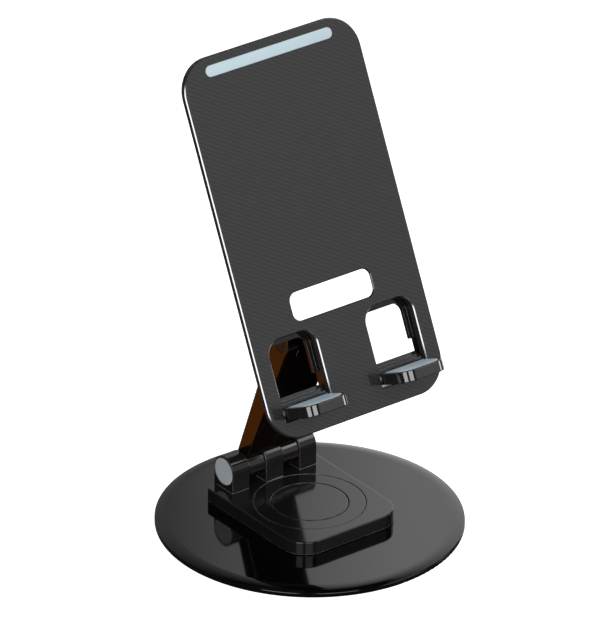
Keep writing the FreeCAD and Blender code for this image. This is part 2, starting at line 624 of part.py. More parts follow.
def make_bracket():
    """The foot that is screwed to the housing, with the tongue that the arm's fork holds."""
    foot = box("bracket_foot", ("2 * bracket_foot_half", "bracket_back - housing_back",
                                "bracket_high - bracket_low"),
               ("0 - bracket_foot_half", "housing_back", "bracket_low"))
    soft_foot = rounded("bracket_foot_soft", foot, "window_foot_round", along("y"))
    solid = fuse("bracket_solid", [soft_foot] + bracket_tongue())
    cuts = [rod("bracket_bore", "x", "upper_pin_radius + pin_slip", "2 * tongue_half",
                ("0 - tongue_half", "upper_depth", "upper_height"))]
    for place, (x, z) in bracket_places().items():
        cuts.append(rod(f"bracket_hole_{place}", "y", "bracket_screw_radius + 0.1", "3",
                        (x, "housing_back - 1", z)))
    keep("hinge_bracket", cut("bracket_cut", solid, cuts), PLATE)

    screws = []
    for place, (x, z) in bracket_places().items():
        shank = rod(f"bracket_shank_{place}", "y", "bracket_screw_radius - 0.02",
                    "bracket_back - panel_thick - shell_thick", (x, "panel_thick + shell_thick + 0.1", z))
        head_ = rod(f"bracket_head_{place}", "y", "bracket_head_radius", "bracket_head_thick",
                    (x, "bracket_back + 0.01", z))
        screws.append(fuse(f"bracket_screw_{place}", [shank, head_]))
    keep("bracket_screws", fuse("bracket_screw_set", screws), PLATE)


# ---------------------------------------------------------------- folding hooks
def make_hook(side):
    """A tongue with a seat for its pad, a round hinge barrel and a stepped thumb rib."""
    start = "hook_in" if side == "right" else "0 - hook_out"
    width = "hook_out - hook_in"
    tongue = box(f"{side}_tongue_block", (width, "hook_reach + hook_axis_depth", "hook_top - hook_low"),
                 (start, "0 - hook_reach", "hook_low"))
    nose = rounded(f"{side}_tongue_nose", tongue, "hook_round", both(along("z"), before("y", -5)))
    barrel = rod(f"{side}_hook_barrel", "x", "barrel_radius", width,
                 (start, "hook_axis_depth", "hook_axis_height"))
    steps = [box(f"{side}_hook_step_{number}",
                 (width, f"step_back - step_first - {number} * step_run",
                  f"hook_top + {number} * step_rise - 8.4"),
                 (start, f"step_first + {number} * step_run", "8.4"))
             for number in (1, 2, 3)]
    soft_nose = rounded(f"{side}_hook_soft", nose, "hook_edge", both(before("y", -0.5), level("z")))
    solid = fuse(f"{side}_hook_solid", [soft_nose, barrel] + steps)
    seat = pad_block(f"{side}_pad_seat", side, "pad_margin", "hook_top - pad_seat", "pad_seat + 1")
    bore = rod(f"{side}_hook_bore", "x", "hook_pin_radius + hook_pin_slip", width,
               (start, "hook_axis_depth", "hook_axis_height"))
    keep(f"{side}_hook", cut(f"{side}_hook_cut", solid, [seat, bore]), PLATE)

    inset = pad_block(f"{side}_pad", side, "( pad_margin + pad_gap )", "hook_top - pad_seat + 0.02",
                      "pad_seat + pad_proud - 0.02")
    keep(f"{side}_hook_pad", rounded(f"{side}_pad_soft", inset, "pad_edge",
                                     lying_at("z", size("hook_top") + size("pad_proud"))), PLATE)

    pin_start = "window_in - hook_pin_reach" if side == "right" else "0 - window_out - hook_pin_reach"
    pin_length = "window_out - window_in + 2 * hook_pin_reach - 0.1"
    pin = rod(f"{side}_pin", "x", "hook_pin_radius", pin_length,
              (f"{pin_start} + 0.05", "hook_axis_depth", "hook_axis_height"))
    keep(f"{side}_hook_pin", chamfered(f"{side}_pin_soft", pin, "insert_edge", level("x")), PLATE)

    starts = ("window_in + 0.07", "window_out - 0.07 - hook_washer_thick")
    if side == "left":
        starts = tuple(f"0 - ( {start_} ) - hook_washer_thick" for start_ in starts)
    washers = [ring(f"{side}_hook_washer_{number}", "x", "hook_pin_radius + 0.06", "hook_washer_outer",
                    "hook_washer_thick", (start_, "hook_axis_depth", "hook_axis_height"))
               for number, start_ in enumerate(starts, start=1)]
    keep(f"{side}_hook_washers", fuse(f"{side}_hook_washer_set", washers), PLATE)


def pad_block(name, side, margin, low, thick):
    """The pad's outline: square at the hinge, round at the nose, with a margin all round."""
    near = f"hook_in + {margin}"
    far = f"hook_out - {margin}"
    start = near if side == "right" else f"0 - ( {far} )"
    block = box(f"{name}_block", (f"{far} - ( {near} )", f"pad_front - 0.3 - {margin} + pad_margin", thick),
                (start, f"0 - pad_front + {margin} - pad_margin", low))
    return rounded(name, block, "pad_round", both(along("z"), before("y", -5)))


# ---------------------------------------------------------------- build, check and write
def check(item):
    """Stop at an object that failed to recompute or has no valid shape."""
    if any(word in item.State for word in ("Invalid", "Error")):
        raise RuntimeError(f"{item.Label}: {item.State}")


make_base()
make_platform()
make_arm()
make_plate()
make_bracket()
for hook_side in ("left", "right"):
    make_hook(hook_side)
doc.recompute()

for item in doc.Objects:
    check(item)
os.makedirs("parts", exist_ok=True)
for label, item in PARTS.items():
    shape = item.Shape
    if shape.isNull() or not shape.isValid():
        raise RuntimeError(f"{label}: bad shape")
    shape.exportStep(f"parts/{label}.step")
    bounds = shape.BoundBox
    print(f"{label}: {len(shape.Solids)} solid(s), {shape.Volume:.1f} mm3, "
          f"{bounds.XLength:.1f} x {bounds.YLength:.1f} x {bounds.ZLength:.1f} mm")
print(f"{len(PARTS)} sub-parts; arm {ARM_LENGTH:.2f} mm at {ARM_LEAN:.2f} degrees; "
      f"upper axis at y {UPPER_AXIS.y:.2f}, z {UPPER_AXIS.z:.2f}")
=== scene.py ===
"""Looks of a folding desk phone stand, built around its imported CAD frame.

The frame gives every metal and moulded part its true shape and place. This script replaces the plain
soft pieces and the cradle's face with finished meshes, dresses every node in a procedural material,
and sets up a small product studio: pale floor, soft boxes and a long-lens camera.
"""
import json
import logging
import math
from dataclasses import dataclass
from enum import Enum

import bmesh
import bpy
from mathutils import Matrix, Vector


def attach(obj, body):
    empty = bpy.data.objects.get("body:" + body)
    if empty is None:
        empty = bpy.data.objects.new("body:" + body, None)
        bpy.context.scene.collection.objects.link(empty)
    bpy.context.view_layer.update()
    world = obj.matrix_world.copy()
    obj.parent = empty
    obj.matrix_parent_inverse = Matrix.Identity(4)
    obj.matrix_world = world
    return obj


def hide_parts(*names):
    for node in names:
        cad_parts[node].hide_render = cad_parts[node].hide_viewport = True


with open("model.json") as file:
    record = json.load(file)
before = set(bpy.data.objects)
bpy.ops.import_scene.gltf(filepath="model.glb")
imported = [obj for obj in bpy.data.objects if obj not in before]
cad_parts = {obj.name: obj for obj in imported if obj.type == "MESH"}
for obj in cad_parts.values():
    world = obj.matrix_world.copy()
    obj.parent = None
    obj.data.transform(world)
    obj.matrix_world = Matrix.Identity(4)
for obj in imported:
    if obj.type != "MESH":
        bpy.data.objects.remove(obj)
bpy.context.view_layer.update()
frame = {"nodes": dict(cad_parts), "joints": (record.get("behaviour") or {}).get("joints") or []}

LOG = logging.getLogger("phone_stand")
MM = 0.001
Colour = tuple[float, float, float]
DUST_COLOUR: Colour = (0.32, 0.31, 0.30)
WHITE: Colour = (1.0, 1.0, 1.0)
COAT_ROUGHNESS = 0.04
EDGE_MARK_ROUGHNESS = 0.12
DUSTY_ROUGHNESS = 0.35
BEVEL_SAMPLES = 6


# ---------------------------------------------------------------- options
class Body(Enum):
    """The rigid bodies that this script's own meshes ride on."""

    BASE = "base"
    CRADLE = "cradle"
    LEFT_HOOK = "left_hook"
    RIGHT_HOOK = "right_hook"


class Side(Enum):
    """The two sides of the stand, as the sign of X."""

    LEFT = -1
    RIGHT = 1


class Corners(Enum):
    """Which corners of an outline are round."""

    ALL = "all"
    UPPER = "upper"
    LOWER = "lower"


# ---------------------------------------------------------------- shader node groups
class Graph:
    """A node tree with short ways to add, wire and compute."""

    def __init__(self, tree: bpy.types.NodeTree) -> None:
        """Args:
            tree: the material's or group's node tree.
        """
        self.tree = tree

    def add(self, kind: str, **settings: object) -> bpy.types.Node:
        """Add one node.

        Args:
            kind: the node's type name.
            settings: attributes to set on it.

        Returns:
            The new node.
        """
        node = self.tree.nodes.new(kind)
        for name, value in settings.items():
            setattr(node, name, value)
        return node

    def feed(self, socket: bpy.types.NodeSocket, value: object) -> None:
        """Give a socket a link, when value is another socket, or a plain value."""
        if isinstance(value, bpy.types.NodeSocket):
            self.tree.links.new(value, socket)
        else:
            socket.default_value = value

    def math(self, operation: str, *values: object, clamp: bool = False) -> bpy.types.NodeSocket:
        """A Math node.

        Args:
            operation: the operation's name.
            values: sockets or numbers for its inputs.
            clamp: keep the result between 0 and 1.

        Returns:
            Its output.
        """
        node = self.add("ShaderNodeMath", operation=operation, use_clamp=clamp)
        for socket, value in zip(node.inputs, values):
            self.feed(socket, value)
        return node.outputs[0]

    def vector(self, operation: str, *values: object) -> bpy.types.NodeSocket:
        """A Vector Math node's result.

        Args:
            operation: the operation's name.
            values: sockets or vectors for its inputs.

        Returns:
            The number it gives for a dot product, and otherwise the vector.
        """
        node = self.add("ShaderNodeVectorMath", operation=operation)
        for socket, value in zip(node.inputs, values):
            self.feed(socket, value)
        return node.outputs["Value" if operation == "DOT_PRODUCT" else "Vector"]

    def mix(self, share: object, low: object, high: object) -> bpy.types.NodeSocket:
        """A colour mix.

        Args:
            share: how much of the second colour.
            low: the first colour or socket.
            high: the second colour or socket.

        Returns:
            The mixed colour.
        """
        node = self.add("ShaderNodeMix", data_type="RGBA")
        self.feed(node.inputs[0], share)
        self.feed(node.inputs[6], low)
        self.feed(node.inputs[7], high)
        return node.outputs[2]

    def remap(self, value: object, span: tuple[float, float],
              to: tuple[float, float]) -> bpy.types.NodeSocket:
        """Map a value from one span onto another, held at both ends.

        Args:
            value: the socket to map.
            span: the values that become the two ends.
            to: the two ends.

        Returns:
            The mapped value.
        """
        node = self.add("ShaderNodeMapRange")
        for socket, number in zip(node.inputs, (value, *span, *to)):
            self.feed(socket, number)
        return node.outputs[0]

    def noise(self, vector: object, scale: float, detail: float = 3.0) -> bpy.types.NodeSocket:
        """Fractal noise between 0 and 1 at a scale per metre.

        Args:
            vector: where to read it.
            scale: how many cells a metre holds.
            detail: its octaves.

        Returns:
            The noise value.
        """
        node = self.add("ShaderNodeTexNoise")
        self.feed(node.inputs["Vector"], vector)
        self.feed(node.inputs["Scale"], scale)
        self.feed(node.inputs["Detail"], detail)
        return node.outputs["Fac"]


class EffectGroup:
    """A shader node group with named inputs and outputs, built once and shared by materials."""

    name = ""
    inputs: dict[str, float | Colour] = {}
    outputs: dict[str, str] = {}

    def tree(self) -> bpy.types.NodeTree:
        """The group's tree, built on first use.

        Returns:
            The shared node tree.
        """
        found = bpy.data.node_groups.get(self.name)
        if found:
            return found
        tree = bpy.data.node_groups.new(self.name, "ShaderNodeTree")
        for label, value in self.inputs.items():
            kind = "NodeSocketFloat" if isinstance(value, float) else "NodeSocketVector"
            socket = tree.interface.new_socket(label, in_out="INPUT", socket_type=kind)
            socket.default_value = value
        for label, kind in self.outputs.items():
            tree.interface.new_socket(label, in_out="OUTPUT", socket_type=kind)
        graph = Graph(tree)
        self.wire(graph, graph.add("NodeGroupInput").outputs, graph.add("NodeGroupOutput").inputs)
        return tree

    def wire(self, graph: Graph, given: object, result: object) -> None:
        """Fill the group.

        Args:
            graph: the group's own graph.
            given: its input sockets by name.
            result: its output sockets by name.
        """
        raise NotImplementedError

    def place(self, graph: Graph, **values: object) -> bpy.types.Node:
        """Use the group in a material.

        Args:
            graph: the material's graph.
            values: inputs by name, with spaces written as underscores.

        Returns:
            The group node.
        """
        node = graph.add("ShaderNodeGroup", node_tree=self.tree())
        for label, value in values.items():
            graph.feed(node.inputs[label.replace("_", " ")], value)
        return node


class FineGrain(EffectGroup):
    """Moulding grain: a small height and a slow change in gloss."""

    name = "fine_grain"
    inputs = {"Point": (0.0, 0.0, 0.0), "Scale": 900.0, "Spread": 0.05}
    outputs = {"Height": "NodeSocketFloat", "Roughness Shift": "NodeSocketFloat", "Mottle": "NodeSocketFloat"}

    def wire(self, graph: Graph, given: object, result: object) -> None:
        """Fill the group: fine noise for height, broad noise for gloss and mottle."""
        fine = graph.noise(given["Point"], given["Scale"], 4.0)
        broad = graph.noise(given["Point"], graph.math("MULTIPLY", given["Scale"], 0.06), 3.0)
        centred = graph.math("SUBTRACT", broad, 0.5)
        graph.feed(result["Height"], fine)
        graph.feed(result["Roughness Shift"], graph.math("MULTIPLY", centred, given["Spread"]))
        graph.feed(result["Mottle"], broad)


class EdgeWearAndHighlight(EffectGroup):
    """A mask that is 1 along edges, broken up by noise: rubbed wear on most finishes, a painted edge
    highlight on the piano black.
    """

    name = "edge_wear_and_highlight"
    inputs = {"Point": (0.0, 0.0, 0.0), "Amount": 0.5, "Scale": 260.0, "Width": 0.0002}
    outputs = {"Mask": "NodeSocketFloat"}

    def wire(self, graph: Graph, given: object, result: object) -> None:
        """Fill the group: places where a softened normal leaves the flat one, thinned out by noise."""
        soft = graph.add("ShaderNodeBevel", samples=4)
        graph.feed(soft.inputs["Radius"], given["Width"])
        flat = graph.add("ShaderNodeNewGeometry").outputs["Normal"]
        bend = graph.math("SUBTRACT", 1.0, graph.vector("DOT_PRODUCT", soft.outputs["Normal"], flat))
        edge = graph.remap(bend, (0.02, 0.16), (0.0, 1.0))
        patches = graph.remap(graph.noise(given["Point"], given["Scale"]), (0.30, 0.66), (0.25, 1.0))
        broken = graph.math("MULTIPLY", edge, patches)
        graph.feed(result["Mask"], graph.math("MULTIPLY", broken, given["Amount"]))


class Dust(EffectGroup):
    """A mask of fine dust that settles on what faces up."""

    name = "dust"
    inputs = {"Point": (0.0, 0.0, 0.0), "Amount": 0.1}
    outputs = {"Mask": "NodeSocketFloat"}

    def wire(self, graph: Graph, given: object, result: object) -> None:
        """Fill the group: specks and a thin film, held to upward faces."""
        normal = graph.add("ShaderNodeTexCoord").outputs["Normal"]
        upward = graph.remap(graph.vector("DOT_PRODUCT", normal, (0.0, 0.0, 1.0)), (0.2, 0.9), (0.0, 1.0))
        specks = graph.remap(graph.noise(given["Point"], 2600.0, 2.0), (0.69, 0.76), (0.0, 1.0))
        film = graph.remap(graph.noise(given["Point"], 34.0, 5.0), (0.35, 0.8), (0.0, 0.35))
        both = graph.math("ADD", specks, film)
        settled = graph.math("MULTIPLY", both, upward)
        graph.feed(result["Mask"], graph.math("MULTIPLY", settled, given["Amount"]))


class TwillLines(EffectGroup):
    """Fine slanting lines on the cradle's face, in the plate's own directions."""

    name = "twill_lines"
    inputs = {"Point": (0.0, 0.0, 0.0), "Slope Axis": (0.0, 0.0, 1.0), "Pitch": 0.00085}
    outputs = {"Tone": "NodeSocketFloat", "Height": "NodeSocketFloat"}

    def wire(self, graph: Graph, given: object, result: object) -> None:
        """Fill the group: a sine across the lines, uneven in width and in strength along them."""
        wander = graph.math("MULTIPLY", graph.noise(given["Point"], 160.0, 2.0), 0.00022)
        across = graph.math("ADD", graph.vector("DOT_PRODUCT", given["Point"], given["Slope Axis"]), wander)
        turns = graph.math("MULTIPLY", graph.math("DIVIDE", across, given["Pitch"]), math.tau)
        wave = graph.math("ADD", graph.math("MULTIPLY", graph.math("SINE", turns), 0.5), 0.5)
        stretched = graph.add("ShaderNodeMapping")
        stretched.inputs["Scale"].default_value = (240.0, 900.0, 900.0)
        graph.feed(stretched.inputs["Vector"], given["Point"])
        broken = graph.remap(graph.noise(stretched.outputs[0], 1.0, 3.0), (0.3, 0.75), (0.45, 1.0))
        tone = graph.math("MULTIPLY", wave, broken)
        graph.feed(result["Tone"], tone)
        graph.feed(result["Height"], tone)


class TurnedRings(EffectGroup):
    """Fine lathe rings about an axis along X or Z."""

    name = "turned_rings"
    inputs = {"Radius": 0.0, "Point": (0.0, 0.0, 0.0)}
    outputs = {"Tone": "NodeSocketFloat"}

    def wire(self, graph: Graph, given: object, result: object) -> None:
        """Fill the group: one-dimensional noise over the radius."""
        bands = graph.add("ShaderNodeTexNoise", noise_dimensions="1D")
        graph.feed(bands.inputs["W"], given["Radius"])
        bands.inputs["Scale"].default_value = 9000.0
        bands.inputs["Detail"].default_value = 2.0
        speckle = graph.math("MULTIPLY", graph.noise(given["Point"], 1500.0), 0.3)
        rings = graph.math("MULTIPLY", bands.outputs["Fac"], 0.7)
        graph.feed(result["Tone"], graph.math("ADD", rings, speckle))


GRAIN = FineGrain()
WEAR_AND_HIGHLIGHT = EdgeWearAndHighlight()
DUST = Dust()
TWILL = TwillLines()
RINGS = TurnedRings()


# ---------------------------------------------------------------- finishes
@dataclass(frozen=True)
class Finish:
    """A moulded or coated surface: colour, gloss, grain, an edge colour (rubbed wear on most finishes, a
    painted highlight on some) and dust.
    """

    name: str
    colour: Colour
    roughness: float
    spread: float = 0.04
    metallic: float = 0.0
    ior: float = 1.5
    coat: float = 0.0
    grain_scale: float = 900.0
    grain_depth: float = 0.000004
    mottle: float = 0.12
    wear_and_highlight_colour: Colour = (0.2, 0.2, 0.2)
    wear_and_highlight: float = 0.15
    dust: float = 0.03
    edge_radius: float = 0.00012

    def material(self) -> bpy.types.Material:
        """The finish as a material, built on first use.

        Returns:
            The shared material.
        """
        found = bpy.data.materials.get(self.name)
        if found:
            return found
        material = bpy.data.materials.new(self.name)
        material.use_nodes = True
        material.node_tree.nodes.clear()
        graph = Graph(material.node_tree)
        shader = graph.add("ShaderNodeBsdfPrincipled")
        output = graph.add("ShaderNodeOutputMaterial")
        graph.feed(output.inputs["Surface"], shader.outputs["BSDF"])
        shader.inputs["IOR"].default_value = self.ior
        shader.inputs["Metallic"].default_value = self.metallic
        shader.inputs["Coat Weight"].default_value = self.coat
        shader.inputs["Coat Roughness"].default_value = COAT_ROUGHNESS
        self.dress(graph, shader)
        return material

    def dress(self, graph: Graph, shader: bpy.types.Node) -> None:
        """Wire the surface's changing colour, gloss and relief.

        Args:
            graph: the material's graph.
            shader: its Principled shader.
        """
        point = graph.add("ShaderNodeTexCoord").outputs["Object"]
        grain = GRAIN.place(graph, Point=point, Scale=self.grain_scale, Spread=self.spread)
        wear_and_highlight_mask = WEAR_AND_HIGHLIGHT.place(graph, Point=point, Amount=self.wear_and_highlight, Width=self.edge_radius).outputs["Mask"]
        dusty = DUST.place(graph, Point=point, Amount=self.dust).outputs["Mask"]
        colour = self.base_colour(graph, point, grain)
        # Edge colour along the shared edge mask: rubbed wear on most finishes, a painted edge highlight on
        # the piano black.
        colour = graph.mix(wear_and_highlight_mask, colour, (*self.wear_and_highlight_colour, 1.0))
        colour = graph.mix(dusty, colour, (*DUST_COLOUR, 1.0))
        graph.feed(shader.inputs["Base Color"], colour)
        gloss = graph.math("ADD", grain.outputs["Roughness Shift"], self.roughness)
        gloss = graph.math("ADD", gloss, graph.math("MULTIPLY", wear_and_highlight_mask, EDGE_MARK_ROUGHNESS))
        gloss = graph.math("ADD", gloss, graph.math("MULTIPLY", dusty, DUSTY_ROUGHNESS), clamp=True)
        graph.feed(shader.inputs["Roughness"], gloss)
        graph.feed(shader.inputs["Normal"], self.relief(graph, point, grain))

    def base_colour(self, graph: Graph, point: object, grain: bpy.types.Node) -> bpy.types.NodeSocket:
        """The surface's own colour, mottled a little.

        Args:
            graph: the material's graph.
            point: the surface point.
            grain: the placed grain group.

        Returns:
            The colour.
        """
        darker = tuple(c * (1 - self.mottle) for c in self.colour)
        lighter = tuple(min(1.0, c * (1 + self.mottle)) for c in self.colour)
        return graph.mix(grain.outputs["Mottle"], (*darker, 1.0), (*lighter, 1.0))

    def relief(self, graph: Graph, point: object, grain: bpy.types.Node) -> bpy.types.NodeSocket:
        """The grain's bump over softened edges.

        Args:
            graph: the material's graph.
            point: the surface point.
            grain: the placed grain group.

        Returns:
            The normal.
        """
        return self.bump(graph, grain.outputs["Height"], self.grain_depth)

    def bump(self, graph: Graph, height: object, depth: float) -> bpy.types.NodeSocket:
        """A Bump node over edges that are rounded by edge_radius.

        Args:
            graph: the material's graph.
            height: the height between 0 and 1.
            depth: what a height of 1 stands for, in metres.

        Returns:
            The normal.
        """
        soft = graph.add("ShaderNodeBevel", samples=BEVEL_SAMPLES)
        soft.inputs["Radius"].default_value = self.edge_radius
        node = graph.add("ShaderNodeBump")
        node.inputs["Strength"].default_value = 1.0
        node.inputs["Distance"].default_value = depth
        graph.feed(node.inputs["Height"], height)
        graph.feed(node.inputs["Normal"], soft.outputs["Normal"])
        return node.outputs["Normal"]


@dataclass(frozen=True)
class TwillFinish(Finish):
    """The cradle face: dark coating with fine slanting lines."""

    pitch: float = 0.00118
    line_contrast: float = 0.36
    line_depth: float = 0.000006
    slope_deg: float = 32.0
    tilt_deg: float = 25.3

    def lines(self, graph: Graph, point: object) -> bpy.types.Node:
        """The line group, turned into the plate's plane.

        Args:
            graph: the material's graph.
            point: the surface point.

        Returns:
            The placed group.
        """
        slope = math.radians(self.slope_deg)
        tilt = math.radians(self.tilt_deg)
        up_plate = Vector((0.0, math.sin(tilt), math.cos(tilt)))
        axis = Vector((math.sin(slope), 0.0, 0.0)) + up_plate * math.cos(slope)
        return TWILL.place(graph, Point=point, Slope_Axis=tuple(axis), Pitch=self.pitch)

    def base_colour(self, graph: Graph, point: object, grain: bpy.types.Node) -> bpy.types.NodeSocket:
        """The coating's colour, lighter on the lines. See Finish.base_colour."""
        tone = self.lines(graph, point).outputs["Tone"]
        darker = tuple(c * (1 - self.line_contrast) for c in self.colour)
        lighter = tuple(c * (1 + self.line_contrast) for c in self.colour)
        return graph.mix(tone, (*darker, 1.0), (*lighter, 1.0))

    def relief(self, graph: Graph, point: object, grain: bpy.types.Node) -> bpy.types.NodeSocket:
        """The lines' relief. See Finish.relief."""
        return self.bump(graph, self.lines(graph, point).outputs["Height"], self.line_depth)


@dataclass(frozen=True)
class TurnedMetal(Finish):
    """Turned or stamped metal with fine rings about an axis."""

    axis: str = "z"
    centre: Colour = (0.0, 0.0, 0.0)

    def rings(self, graph: Graph, point: object) -> bpy.types.NodeSocket:
        """The ring tone about the finish's axis.

        Args:
            graph: the material's graph.
            point: the surface point.

        Returns:
            The tone between 0 and 1.
        """
        local = graph.vector("SUBTRACT", point, self.centre)
        flat = graph.vector("MULTIPLY", local, (1.0, 1.0, 0.0) if self.axis == "z" else (0.0, 1.0, 1.0))
        radius = graph.add("ShaderNodeVectorMath", operation="LENGTH")
        graph.feed(radius.inputs[0], flat)
        return RINGS.place(graph, Radius=radius.outputs["Value"], Point=point).outputs["Tone"]

    def base_colour(self, graph: Graph, point: object, grain: bpy.types.Node) -> bpy.types.NodeSocket:
        """The metal's colour, toned by its rings. See Finish.base_colour."""
        darker = tuple(c * (1 - self.mottle) for c in self.colour)
        lighter = tuple(min(1.0, c * (1 + self.mottle)) for c in self.colour)
        return graph.mix(self.rings(graph, point), (*darker, 1.0), (*lighter, 1.0))

    def relief(self, graph: Graph, point: object, grain: bpy.types.Node) -> bpy.types.NodeSocket:
        """The rings' relief. See Finish.relief."""
        return self.bump(graph, self.rings(graph, point), self.grain_depth)


# The piano black's light grey edge colour is a painted highlight along its edges, inner corners included, not
# wear.
PIANO_BLACK = Finish("piano_black", (0.0092, 0.0092, 0.0096), 0.11, spread=0.03, grain_scale=420.0,
                     grain_depth=0.0000006, wear_and_highlight_colour=(0.42, 0.42, 0.43), wear_and_highlight=0.8, dust=0.008,
                     edge_radius=0.00028)
DISC_BLACK = Finish("disc_black", (0.0010, 0.0010, 0.0011), 0.07, spread=0.03, grain_scale=300.0,
                    grain_depth=0.0000006, wear_and_highlight=0.02, dust=0.004)
KNUCKLE_BLACK = Finish("knuckle_black", (0.0060, 0.0058, 0.0055), 0.10, spread=0.03, grain_depth=0.0000012,
                       wear_and_highlight=0.12, dust=0.008, edge_radius=0.0002)
HOOK_BLACK = Finish("hook_black", (0.006, 0.006, 0.006), 0.07, spread=0.03, ior=1.85, grain_depth=0.0000012,
                    wear_and_highlight_colour=(0.3, 0.3, 0.3), wear_and_highlight=0.25, dust=0.008)
SHELL_BLACK = Finish("shell_black", (0.012, 0.012, 0.013), 0.46, spread=0.08, grain_scale=2200.0,
                     grain_depth=0.000006, wear_and_highlight=0.08)
GRAPHITE_TWILL = TwillFinish("graphite_twill", (0.0170, 0.0172, 0.0175), 0.46, spread=0.06, ior=1.3, coat=1.0,
                             wear_and_highlight=0.0, dust=0.012)
POLISHED_EDGE = Finish("polished_edge", (0.30, 0.31, 0.33), 0.22, metallic=1.0, wear_and_highlight=0.0, dust=0.0,
                       grain_depth=0.000001)
DARK_BRONZE = Finish("dark_bronze", (0.0045, 0.0020, 0.0010), 0.10, spread=0.05, ior=1.62, grain_scale=700.0,
                     grain_depth=0.000001, mottle=0.2, wear_and_highlight_colour=(0.16, 0.09, 0.05), wear_and_highlight=0.15,
                     edge_radius=0.0002)
# The strip is the same pale silicone as the pads; its colour is lowered a little as painted shade, because
# the front light falls on it more strongly.
SHADED_STRIP_SILICONE = Finish("strip_silicone_shaded", (0.485, 0.60, 0.65), 0.5, spread=0.1, grain_scale=3200.0,
                        grain_depth=0.000006, mottle=0.04, wear_and_highlight=0.0, dust=0.02)
BLACKED_STEEL = Finish("blacked_steel", (0.012, 0.011, 0.010), 0.38, spread=0.1, grain_scale=1800.0,
                       grain_depth=0.000003, wear_and_highlight_colour=(0.2, 0.2, 0.2), wear_and_highlight=0.3)
PALE_SILICONE = Finish("pale_silicone", (0.52, 0.65, 0.73), 0.55, spread=0.1, grain_scale=3200.0,
                       grain_depth=0.000008, mottle=0.04, wear_and_highlight=0.0, dust=0.02)
FOOT_RUBBER = Finish("foot_rubber", (0.018, 0.018, 0.018), 0.8, grain_scale=2600.0, grain_depth=0.00002)
SATIN_GREY = Finish("satin_grey", (0.50, 0.55, 0.60), 0.6, spread=0.08, grain_scale=1600.0,
                    grain_depth=0.000003)
ACETAL = Finish("natural_acetal", (0.68, 0.67, 0.62), 0.4, grain_scale=1400.0)


def steel(name: str, axis: str = "z", centre: Colour = (0.0, 0.0, 0.0)) -> TurnedMetal:
    """Turned steel about an axis through a point.

    Args:
        name: the material's name.
        axis: "x" or "z".
        centre: a point on the axis, in metres.

    Returns:
        The finish.
    """
    return TurnedMetal(name, (0.50, 0.50, 0.51), 0.24, metallic=1.0, grain_depth=0.000002, mottle=0.18,
                       wear_and_highlight=0.1, dust=0.0, axis=axis, centre=centre)


# ---------------------------------------------------------------- meshes
def dress(node: str, finish: Finish) -> None:
    """Give a CAD node a finish.

    Args:
        node: the node's name.
        finish: what it gets.
    """
    item = frame["nodes"][node]
    item.data.materials.clear()
    item.data.materials.append(finish.material())
    LOG.info("%s: %s", node, finish.name)


def smooth(mesh: bpy.types.Mesh, limit_deg: float = 32.0) -> None:
    """Smooth a mesh's shading, but keep its hard edges.

    Args:
        mesh: the mesh.
        limit_deg: edges that bend more than this stay sharp.
    """
    work = bmesh.new()
    work.from_mesh(mesh)
    for face in work.faces:
        face.smooth = True
    for edge in work.edges:
        bend = edge.calc_face_angle(0.0) if len(edge.link_faces) == 2 else math.pi
        edge.smooth = bend < math.radians(limit_deg)
    work.to_mesh(mesh)
    work.free()


def rounded_outline(low: Vector, high: Vector, radius: float, corners: Corners = Corners.ALL,
                    steps: int = 14) -> list[Vector]:
    """A rectangle's outline with round corners.

    Args:
        low: its lower left corner.
        high: its upper right corner.
        radius: the corner radius.
        corners: which corners are round.
        steps: how many pieces an arc has.

    Returns:
        Its points, anticlockwise from the lower right.
    """
    points = []
    for number, (x, y) in enumerate(((high.x, low.y), (high.x, high.y), (low.x, high.y), (low.x, low.y))):
        upper = number in (1, 2)
        is_round = corners is Corners.ALL or (corners is Corners.UPPER) == upper
        if not is_round:
            points.append(Vector((x, y)))
            continue
        inward = Vector((-radius if x == high.x else radius, -radius if y == high.y else radius))
        centre = Vector((x, y)) + inward
        start = math.radians(-90 + 90 * number)
        for step in range(steps + 1):
            angle = start + math.radians(90) * step / steps
            points.append(centre + Vector((math.cos(angle), math.sin(angle))) * radius)
    return points


@dataclass(frozen=True)
class Sheet:
    """A flat piece cut from outlines, with a bevel round every edge."""

    outlines: tuple[list[Vector], ...]
    thick: float
    bevel: float
    bevel_steps: int = 0

    def mesh(self, name: str) -> bpy.types.Mesh:
        """Cut and bevel the piece, its outlines in X and Y and its thickness centred on Z.

        Args:
            name: the mesh's name.

        Returns:
            The mesh.
        """
        curve = bpy.data.curves.new(f"{name}_outline", "CURVE")
        curve.dimensions = "2D"
        curve.fill_mode = "BOTH"
        curve.extrude = self.thick / 2 - self.bevel
        curve.bevel_depth = self.bevel
        curve.bevel_resolution = self.bevel_steps
        curve.offset = -self.bevel
        for outline in self.outlines:
            spline = curve.splines.new("POLY")
            spline.points.add(len(outline) - 1)
            for point, place in zip(spline.points, outline):
                point.co = (place.x, place.y, 0.0, 1.0)
            spline.use_cyclic_u = True
        holder = bpy.data.objects.new(f"{name}_holder", curve)
        bpy.context.scene.collection.objects.link(holder)
        mesh = bpy.data.meshes.new_from_object(holder.evaluated_get(bpy.context.evaluated_depsgraph_get()))
        mesh.name = name
        bpy.data.objects.remove(holder)
        bpy.data.curves.remove(curve)
        work = bmesh.new()
        work.from_mesh(mesh)
        bmesh.ops.remove_doubles(work, verts=work.verts, dist=1e-7)
        bmesh.ops.recalc_face_normals(work, faces=work.faces)
        work.to_mesh(mesh)
        work.free()
        return mesh


